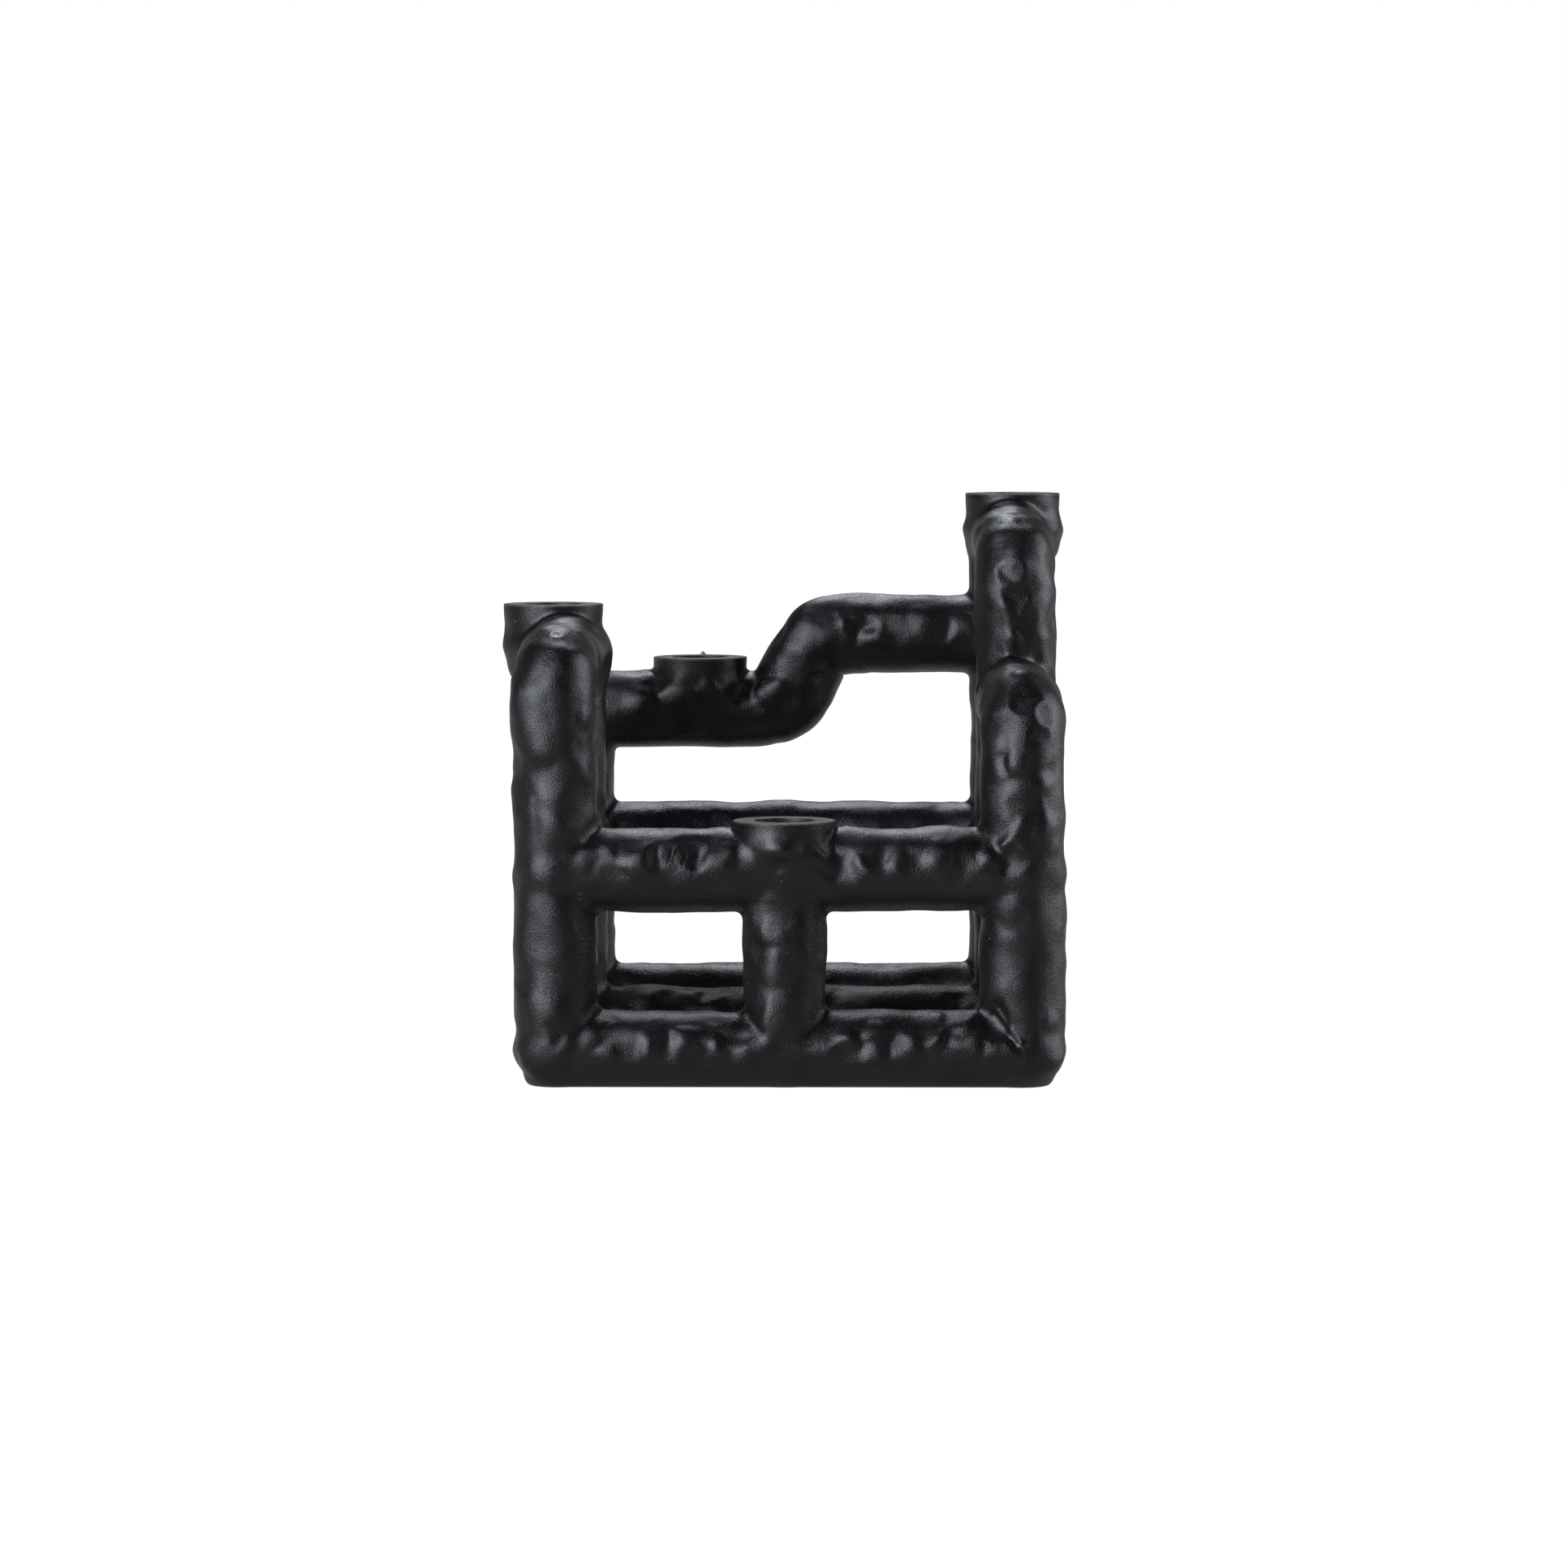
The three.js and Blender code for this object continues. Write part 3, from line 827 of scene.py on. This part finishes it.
def cells():
    """Each node's boxes of space, as x, y and z ranges. The boxes meet face to face."""
    left, right = (-FAR, LEFT + STUB), (RIGHT - STUB, FAR)
    front, mid, back = (-FAR, FRONT + STUB), (MIDDLE - STUB, MIDDLE + STUB), (BACK - STUB, FAR)
    between = (LEFT + STUB, RIGHT - STUB)
    front_bay, back_bay = (FRONT + STUB, MIDDLE - STUB), (MIDDLE + STUB, BACK - STUB)
    bend = ELBOW_RADIUS
    over_left, over_low, over_right = LEFT_LINK_Z - bend, LOW_LINK_Z - bend, RIGHT_LINK_Z - bend
    over_step = STEP_LOW_Z - bend
    base, half, upper = (-FAR, BASE_TOP), (BASE_TOP, HALF_TOP), (HALF_TOP, FAR)
    front_cup, back_cup = (-FAR, FRONT + CUP_REACH), (BACK - CUP_REACH, FAR)
    left_cup_x, right_cup_x = (-FAR, LEFT + CUP_REACH), (RIGHT - CUP_REACH, FAR)
    left_cup_start, right_cup_start = MIDDLE - CUP_REACH - 2, BACK - CUP_REACH - 2
    under_left_cup, under_right_cup = LEFT_LINK_Z - 20, RIGHT_LINK_Z - 20
    centre = (CENTRE_X - CUP_REACH, CENTRE_X + CUP_REACH)
    post_top = CUPS["front_candle_cup"].foot
    on_base = BASE_Z + STUB
    boxes = {
        "front_left_post": (left, front, (-FAR, over_left)),
        "front_left_elbow": (left, (-FAR, FRONT + bend), (over_left, FAR)),
        "left_top_link": (left, (FRONT + bend, left_cup_start), upper),
        "left_candle_cup": (left_cup_x, (left_cup_start, BACK - 40), (under_left_cup, FAR)),
        "middle_left_post": (left, mid, (-FAR, under_left_cup)),
        "back_left_post": (left, back, (-FAR, over_step)),
        "back_left_elbow": ((-FAR, LEFT + bend), back, (over_step, FAR)),
        "front_right_post": (right, front, (-FAR, over_low)),
        "front_right_elbow": (right, (-FAR, FRONT + bend), (over_low, FAR)),
        "right_low_link": (right, (FRONT + bend, MIDDLE - STUB), upper),
        "middle_right_post": (right, mid, (-FAR, over_right)),
        "middle_right_elbow": (right, (MIDDLE - 30, MIDDLE + bend), (over_right, FAR)),
        "right_top_link": (right, (MIDDLE + bend, right_cup_start), upper),
        "right_candle_cup": (right_cup_x, (right_cup_start, FAR), (under_right_cup, FAR)),
        "back_right_post": (right, back, (-FAR, under_right_cup)),
        "front_base_rail": (between, front, (-FAR, on_base)),
        "middle_base_rail": (between, mid, base),
        "back_base_rail": (between, back, base),
        "front_centre_post": (centre, front, (on_base, post_top)),
        "front_candle_cup": (centre, front_cup, (post_top, FAR)),
        "front_mid_rail_left": ((between[0], centre[0]), front, half),
        "front_mid_rail_right": ((centre[1], between[1]), front, half),
        "back_mid_rail": (between, back, half),
        "back_step_bend": ((STEP_START_X, STEP_END_X), back, upper),
    }
    for side, x in (("left", left), ("right", right)):
        for part, bay in (("front", front_bay), ("back", back_bay)):
            boxes[f"{side}_base_side_rail_{part}"] = (x, bay, base)
            boxes[f"{side}_mid_side_rail_{part}"] = (x, bay, half)
    result = {name: [ranges] for name, ranges in boxes.items()}
    result["back_high_rail"] = [
        ((STEP_END_X, right_cup_x[0]), back, upper),
        ((right_cup_x[0], between[1]), back, (HALF_TOP, under_right_cup)),
    ]
    cup = CUPS["back_candle_cup"]
    cup_x = (cup.x - CUP_REACH + 2, STEP_START_X)
    result["back_candle_cup"] = [(cup_x, back_cup, (cup.foot, FAR))]
    result["back_low_rail"] = [
        ((LEFT + bend, cup_x[0]), back, upper),
        (cup_x, back, (HALF_TOP, cup.foot)),
    ]
    return result


# Only the skin this close to a box is cut for it
CUT_MARGIN = 2 * TUBE_RADIUS + 8


def cut_out(points, triangles, normals, ranges, open_above=None):
    """The closed part of the skin inside a box. open_above leaves it open at that height instead."""
    low = np.array([r[0] for r in ranges]) - CUT_MARGIN
    high = np.array([r[1] for r in ranges]) + CUT_MARGIN
    corner = points[triangles]
    inside = np.all((corner.max(1) > low) & (corner.min(1) < high), axis=1)
    used, local = np.unique(triangles[inside], return_inverse=True)
    mesh = make_mesh("part", points[used], local.reshape(-1, 3).tolist())
    shade = mesh.attributes.new("shade", "FLOAT_VECTOR", "POINT")
    shade.data.foreach_set("vector", normals[used].ravel())
    solid = bmesh.new()
    solid.from_mesh(mesh)
    bpy.data.meshes.remove(mesh)
    planes = []
    for axis, (start, end) in enumerate(ranges):
        planes += [(axis, start, -1), (axis, end, 1)]
    if open_above is not None:
        planes.append((2, open_above, 1))
    for axis, place, sign in planes:
        if abs(place) == FAR:
            continue
        made = bmesh.ops.bisect_plane(
            solid,
            geom=solid.verts[:] + solid.edges[:] + solid.faces[:],
            plane_co=tuple(np.eye(3)[axis] * place),
            plane_no=tuple(np.eye(3)[axis] * sign),
            clear_outer=True,
        )
        rim = [g for g in made["geom_cut"] if isinstance(g, bmesh.types.BMEdge) and g.is_boundary]
        if rim and not (open_above is not None and place == open_above):
            for face in bmesh.ops.holes_fill(solid, edges=rim, sides=0)["faces"]:
                face.material_index = 1
    return solid


def cup_marks(points):
    """How worn the cups' rims are and how smoothly their walls are turned at each point, from 0 to 1."""
    wear, turned = np.zeros(len(points)), np.zeros(len(points))
    for cup in CUPS.values():
        from_axis = cup.from_axis(points)
        below = cup.rim - points[:, 2]
        rim = (below < 1.2 * RIM_ROUND) & (from_axis < cup.wall + 1)
        on_edge = np.exp(-(((from_axis - cup.wall + RIM_ROUND / 2) / 0.7) ** 2))
        on_mouth = 0.6 * np.exp(-(((from_axis - SOCKET_RADIUS - MOUTH_ROUND / 2) / 0.6) ** 2))
        wear = np.where(rim, 0.25 + 0.75 * np.maximum(on_edge, on_mouth), wear)
        near = 1 - fade(from_axis, cup.wall + 0.5, cup.wall + 1.5)
        turned = np.maximum(turned, near * (1 - fade(below, 6, 13)))
    return {"wear": wear, "turned": turned}


def finish_piece(name, solids, collar=None):
    """A Blender object from one or more cut-out solids, with the skin's own normals."""
    vertices, faces, shades, cap_flags, count = [], [], [], [], 0
    for solid in solids:
        solid.verts.index_update()
        layer = solid.verts.layers.float_vector["shade"]
        vertices += [v.co.copy() for v in solid.verts]
        shades += [v[layer].copy() for v in solid.verts]
        for face in solid.faces:
            faces.append([v.index + count for v in face.verts])
            cap_flags.append(face.material_index == 1)
        count = len(vertices)
        solid.free()
    if collar is not None:
        more_vertices, more_faces, more_shades = collar(count)
        vertices += more_vertices
        shades += more_shades
        faces += more_faces
        cap_flags += [False] * len(more_faces)
    vertices = np.array(vertices)
    mesh = make_mesh(name, vertices * MM, faces)
    mesh.polygons.foreach_set("use_smooth", [not flag for flag in cap_flags])
    for mark, share in cup_marks(vertices).items():
        mesh.attributes.new(mark, "FLOAT", "POINT").data.foreach_set("value", share)
    shades = unit(np.array(shades))
    loop_vertex = np.empty(len(mesh.loops), np.int64)
    mesh.loops.foreach_get("vertex_index", loop_vertex)
    loops = shades[loop_vertex]
    for polygon, flag in zip(mesh.polygons, cap_flags):
        if flag:
            loops[polygon.loop_start:polygon.loop_start + polygon.loop_total] = polygon.normal
    mesh.normals_split_custom_set(loops.tolist())
    piece = bpy.data.objects.new(f"{name}_skin", mesh)
    bpy.context.scene.collection.objects.link(piece)
    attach(piece, "root")
    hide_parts(name)
    return piece


# ---- The turned collars and sockets


def collar_profile(cup):
    """Radius, height, and which share of the wall's waviness each ring of the collar keeps."""
    rows = []
    quarter = np.radians((22.5, 45, 67.5, 90))
    for z in np.linspace(cup.collar_foot + 0.35, cup.rim - RIM_ROUND, 4):
        rows.append((cup.wall, z, (1.0, 0.0), 1 - fade(z, cup.collar_foot, cup.rim)))
    for angle in quarter:
        out, up = math.cos(angle), math.sin(angle)
        rows.append((cup.wall - RIM_ROUND * (1 - out), cup.rim - RIM_ROUND * (1 - up), (out, up), 0.0))
    inner = SOCKET_RADIUS + MOUTH_ROUND
    for r in np.linspace(cup.wall - RIM_ROUND, inner, 6)[1:]:
        rows.append((r, cup.rim, (0.0, 1.0), 0.0))
    for angle in quarter:
        out, up = math.sin(angle), math.cos(angle)
        rows.append((inner - MOUTH_ROUND * out, cup.rim - MOUTH_ROUND * (1 - up), (-out, up), 0.0))
    floor = cup.rim - SOCKET_DEPTH
    for z in np.linspace(cup.rim - MOUTH_ROUND, floor, 9)[1:]:
        rows.append((SOCKET_RADIUS, z, (-1.0, 0.0), 0.0))
    for r in (SOCKET_RADIUS - 0.8, 7.0, 3.0):
        rows.append((r, floor, (0.0, 1.0), 0.0))
    return rows


# A burr left on a rim's outer edge: its direction from the cup's axis in degrees, half its width in
# degrees, and its height
BURRS = {"back_candle_cup": (88, 4.5, 1.4)}


def burr_height(cup, angles):
    """How far the rim's outer edge is raised at each angle."""
    if cup.name not in BURRS:
        return np.zeros(len(angles))
    direction, half_width, height = BURRS[cup.name]
    off = np.abs((np.degrees(angles) - direction + 180) % 360 - 180)
    return height * (1 - fade(off, 0, half_width))


def open_loop(solid):
    """The points round the one open edge of a solid, in order."""
    first = next(e for e in solid.edges if e.is_boundary)
    loop, edge = [first.verts[0]], first
    while True:
        point = edge.other_vert(loop[-1])
        if point is loop[0]:
            return loop
        loop.append(point)
        edge = next(e for e in point.link_edges if e.is_boundary and e is not edge)


def collar_maker(cup, solid):
    """A function that adds the collar to the open top of a cup's solid."""
    solid.verts.index_update()
    loop = open_loop(solid)
    offsets = np.array([(v.co.x - cup.x, v.co.y - cup.y) for v in loop])
    loop_angles = np.unwrap(np.arctan2(offsets[:, 1], offsets[:, 0]))
    if loop_angles[-1] < loop_angles[0]:
        loop, offsets, loop_angles = loop[::-1], offsets[::-1], loop_angles[::-1]
    loop_indices = [v.index for v in loop]
    angles = loop_angles[0] + (np.arange(CUP_SIDES) + 0.5) * 2 * math.pi / CUP_SIDES
    radii = np.hypot(offsets[:, 0], offsets[:, 1])
    waviness = np.interp(angles, loop_angles, radii, period=2 * math.pi) - cup.wall

    def make(offset):
        vertices, shades = [], []
        profile = collar_profile(cup)
        for radius, z, (out, up), keep in profile:
            ring = radius + keep * waviness
            at_edge = z == cup.rim and radius > cup.wall - RIM_ROUND - 0.1
            raised = burr_height(cup, angles) if at_edge else np.zeros(len(angles))
            for angle, r, lift in zip(angles, ring, raised):
                place = (cup.x + r * math.cos(angle), cup.y + r * math.sin(angle), z + lift)
                vertices.append(Vector(place))
                shades.append(Vector((out * math.cos(angle), out * math.sin(angle), up)))
        n = CUP_SIDES
        faces = bands(len(profile), n, offset)
        centre = len(vertices)
        vertices.append(Vector((cup.x, cup.y, cup.rim - SOCKET_DEPTH)))
        shades.append(Vector((0, 0, 1)))
        last = (len(profile) - 1) * n
        for i in range(n):
            faces.append([offset + last + i, offset + last + (i + 1) % n, offset + centre])
        faces += zipped(loop_indices, loop_angles, [offset + i for i in range(n)], angles)
        return vertices, faces, shades

    return make


def zipped(lower, lower_angles, upper, upper_angles):
    """Triangles between two loops of points, by their angles round the same axis."""
    faces = []
    i = j = 0
    n, m = len(lower), len(upper)
    while i < n or j < m:
        next_lower = lower_angles[i + 1] if i + 1 < n else lower_angles[(i + 1) % n] + 2 * math.pi
        next_upper = upper_angles[j + 1] if j + 1 < m else upper_angles[(j + 1) % m] + 2 * math.pi
        if j >= m or (i < n and next_lower <= next_upper):
            faces.append([lower[i % n], lower[(i + 1) % n], upper[j % m]])
            i += 1
        else:
            faces.append([lower[i % n], upper[(j + 1) % m], upper[j % m]])
            j += 1
    return faces


# ---- Finish


class Graph:
    """Short names for making and joining the nodes of a material or a world."""

    def __init__(self, owner):
        self.tree = owner.node_tree

    def place(self, kind="Object"):
        return self.node("TexCoord").outputs[kind]

    def node(self, kind, values=(), **settings):
        node = self.tree.nodes.new("ShaderNode" + kind)
        for name, value in settings.items():
            setattr(node, name, value)
        for name, value in dict(values).items():
            if isinstance(value, bpy.types.NodeSocket):
                self.tree.links.new(value, node.inputs[name])
            else:
                node.inputs[name].default_value = value
        return node

    def noise(self, size_mm, detail=2.0, roughness=0.5):
        """Noise from 0 to 1 with features about this size."""
        scale = 1 / (size_mm * MM)
        values = {"Vector": self.place(), "Scale": scale, "Detail": detail, "Roughness": roughness}
        return self.node("TexNoise", values).outputs["Fac"]

    def spread(self, value, start, end, first, last):
        values = {"Value": value, "From Min": start, "From Max": end, "To Min": first, "To Max": last}
        return self.node("MapRange", values).outputs["Result"]

    def maths(self, operation, first, second):
        return self.node("Math", {0: first, 1: second}, operation=operation).outputs["Value"]

    def seen(self):
        """1 where the camera looks straight at it, and 0 for light that falls on the object."""
        return self.node("LightPath").outputs["Is Camera Ray"]

    def mix(self, share, first, second):
        node = self.node("Mix", data_type="RGBA")
        for name, value in (("Factor", share), ("A", first), ("B", second)):
            socket = next(i for i in node.inputs if i.name == name and i.enabled)
            if isinstance(value, bpy.types.NodeSocket):
                self.tree.links.new(value, socket)
            else:
                socket.default_value = value
        return next(o for o in node.outputs if o.enabled)


# The coat's colours, as linear red, green and blue
COAT_DEEP = (0.0014, 0.0018, 0.0022, 1)
COAT_PALE = (0.0036, 0.0043, 0.0051, 1)
COAT_WORN = (0.060, 0.050, 0.043, 1)
DUST = (0.30, 0.30, 0.29, 1)

# How strongly it reflects, how much rougher it is where it is turned, and each coat's roughness and grain
COAT_SPECULAR = 0.36
TURNED_ROUGHER = 0.03
TUBE_FINISH = (0.285, 0.65)
CUP_FINISH = (0.29, 0.5)

# The sizes of its patches, grain, orange peel and patches of wear, and the gaps between dust specks
PATCH = 14
GRAIN = 0.55
PEEL = 3.4
WEAR_PATCH = 1.1
SPECK_GAP = 2.6


def coat_material(name, roughness, grain):
    """A matt black powder coat: fine grain, soft patches, a little dust, and wear on the cups' rims."""
    material = bpy.data.materials.new(name)
    material.use_nodes = True
    graph = Graph(material)
    shader = material.node_tree.nodes["Principled BSDF"]
    link = material.node_tree.links.new

    patches = graph.noise(PATCH, detail=3)
    fine = graph.noise(GRAIN, detail=2, roughness=0.6)
    cells = graph.node("TexVoronoi", {"Vector": graph.place(), "Scale": 1 / (SPECK_GAP * MM)})
    chance = graph.node("SeparateColor", {"Color": cells.outputs["Color"]}).outputs["Red"]
    spot = graph.spread(cells.outputs["Distance"], 0.05, 0.085, 1.0, 0.0)
    speck = graph.maths("MULTIPLY", spot, graph.spread(chance, 0.955, 0.96, 0.0, 1.0))

    wear = graph.node("Attribute", attribute_name="wear").outputs["Fac"]
    turned = graph.node("Attribute", attribute_name="turned").outputs["Fac"]
    patchy = graph.spread(graph.noise(WEAR_PATCH, detail=4), 0.35, 0.65, 0.25, 1.0)
    worn = graph.maths("MULTIPLY", wear, patchy)

    colour = graph.mix(graph.spread(patches, 0.3, 0.7, 0.0, 1.0), COAT_DEEP, COAT_PALE)
    colour = graph.mix(graph.spread(fine, 0.55, 0.8, 0.0, 0.5), colour, COAT_PALE)
    colour = graph.mix(worn, colour, COAT_WORN)
    colour = graph.mix(speck, colour, DUST)
    link(colour, shader.inputs["Base Color"])

    uneven = graph.spread(patches, 0.3, 0.7, roughness - 0.035, roughness + 0.035)
    uneven = graph.maths("ADD", uneven, graph.spread(fine, 0.3, 0.7, -0.04, 0.04))
    uneven = graph.maths("ADD", uneven, graph.spread(turned, 0, 1, 0, TURNED_ROUGHER))
    link(uneven, shader.inputs["Roughness"])
    shader.inputs["Specular IOR Level"].default_value = COAT_SPECULAR

    ripple = graph.noise(PEEL, detail=1)
    peel = graph.node("Bump", {"Strength": 0.4, "Distance": 0.2 * MM, "Height": ripple})
    values = {"Strength": grain, "Distance": 0.3 * MM, "Height": fine, "Normal": peel.outputs["Normal"]}
    link(graph.node("Bump", values).outputs["Normal"], shader.inputs["Normal"])
    return material


# ---- Put together


def build():
    """Makes the worked skin, and cuts it into the pieces that replace the frame's nodes."""
    points, triangles = smooth_skin()
    normals = normals_of(points, triangles)
    height = worked(points, normals) * freedom(points)
    points = kept_below_collars(points, points + normals * height[:, None])
    points[:, 2] = np.maximum(points[:, 2], 0)
    normals = normals_of(points, triangles)
    tube_coat = coat_material("tube_coat", *TUBE_FINISH)
    cup_coat = coat_material("cup_coat", *CUP_FINISH)
    for name, boxes in cells().items():
        if name in CUPS:
            cup = CUPS[name]
            solid = cut_out(points, triangles, normals, boxes[0], open_above=cup.collar_foot)
            piece = finish_piece(name, [solid], collar_maker(cup, solid))
            piece.data.materials.append(cup_coat)
        else:
            solids = [cut_out(points, triangles, normals, ranges) for ranges in boxes]
            piece = finish_piece(name, solids)
            piece.data.materials.append(tube_coat)


# The studio's brightness, where the white that the camera sees is 1. The object is lit by less than
# that: the level behind it near the horizon, the level overhead, the share of those that is left in
# front, and the level of the floor
HORIZON_LIGHT = 0.26
UPPER_LIGHT = 0.09
FRONT_SHARE = 0.4
FLOOR_LIGHT = 0.34
FLOOR_COLOUR = (0.12, 0.12, 0.12, 1)


def world_light():
    """White to the camera, but dim behind the object, and dimmer overhead and in front."""
    world = bpy.data.worlds.new("studio")
    bpy.context.scene.world = world
    world.use_nodes = True
    graph = Graph(world)
    direction = graph.node("SeparateXYZ", {"Vector": graph.place("Generated")}).outputs
    upwards = graph.spread(direction["Z"], 0.05, 0.4, HORIZON_LIGHT, UPPER_LIGHT)
    backwards = graph.spread(direction["Y"], -0.7, 0.2, FRONT_SHARE, 1.0)
    lit = graph.maths("MULTIPLY", upwards, backwards)
    background = world.node_tree.nodes["Background"]
    background.inputs["Color"].default_value = (1, 1, 1, 1)
    strength = graph.maths("MAXIMUM", lit, graph.seen())
    world.node_tree.links.new(strength, background.inputs["Strength"])


def white_floor():
    bpy.ops.mesh.primitive_plane_add(size=20, location=(0, 0, -0.0002))
    floor = bpy.context.object
    floor.name = "floor"
    paint = bpy.data.materials.new("pale_floor")
    paint.use_nodes = True
    shader = paint.node_tree.nodes["Principled BSDF"]
    shader.inputs["Base Color"].default_value = FLOOR_COLOUR
    shader.inputs["Roughness"].default_value = 0.9
    shader.inputs["Specular IOR Level"].default_value = 0
    shader.inputs["Emission Color"].default_value = (1, 1, 1, 1)
    graph = Graph(paint)
    glow = graph.spread(graph.seen(), 0, 1, FLOOR_LIGHT, 1.0)
    paint.node_tree.links.new(glow, shader.inputs["Emission Strength"])
    floor.data.materials.append(paint)


# Each softbox: direction from the front, towards the right, and up, in degrees; distance and size in
# metres; and brightness, where the white background is 1
SOFTBOXES = {
    "left_softbox": (-40, 22, 1.6, (1.1, 1.35), 9.2),
    "right_softbox": (95, 20, 1.6, (1.0, 1.3), 5.2),
    "overhead_softbox": (205, 62, 1.5, (0.3, 0.3), 5.5),
    "back_softbox": (182, 41, 1.7, (0.35, 0.7), 7.0),
}
AIM = Vector((0, 0, 0.1))
LAMP_COLOUR = (0.94, 0.98, 1.05)


def softboxes():
    for name, (across, up, distance, size, brightness) in SOFTBOXES.items():
        across, up = math.radians(across), math.radians(up)
        level = math.cos(up)
        towards = Vector((level * math.sin(across), -level * math.cos(across), math.sin(up)))
        light = bpy.data.lights.new(name, "AREA")
        light.shape = "RECTANGLE"
        light.size, light.size_y = size
        light.energy = brightness * math.pi * size[0] * size[1]
        light.color = LAMP_COLOUR
        lamp = bpy.data.objects.new(name, light)
        lamp.location = AIM + towards * distance
        lamp.rotation_euler = towards.to_track_quat("Z", "Y").to_euler()
        bpy.context.scene.collection.objects.link(lamp)


def studio():
    bpy.context.scene.view_settings.view_transform = "Standard"
    world_light()
    white_floor()
    softboxes()


# The camera, worked out from the photo's perspective: a little higher than the object, and looking down
EYE = Vector((17.6, -2306.8, 272.0)) * MM
TARGET = Vector((-1.8, -87.6, 113.6)) * MM
LENS = 136.0
SENSOR_WIDTH = 36


def camera():
    data = bpy.data.cameras.new("camera")
    data.lens = LENS
    data.sensor_width = SENSOR_WIDTH
    eye = bpy.data.objects.new("camera", data)
    bpy.context.scene.collection.objects.link(eye)
    eye.location = EYE
    eye.rotation_euler = (TARGET - EYE).to_track_quat("-Z", "Y").to_euler()
    bpy.context.scene.camera = eye


camera()
studio()
build()
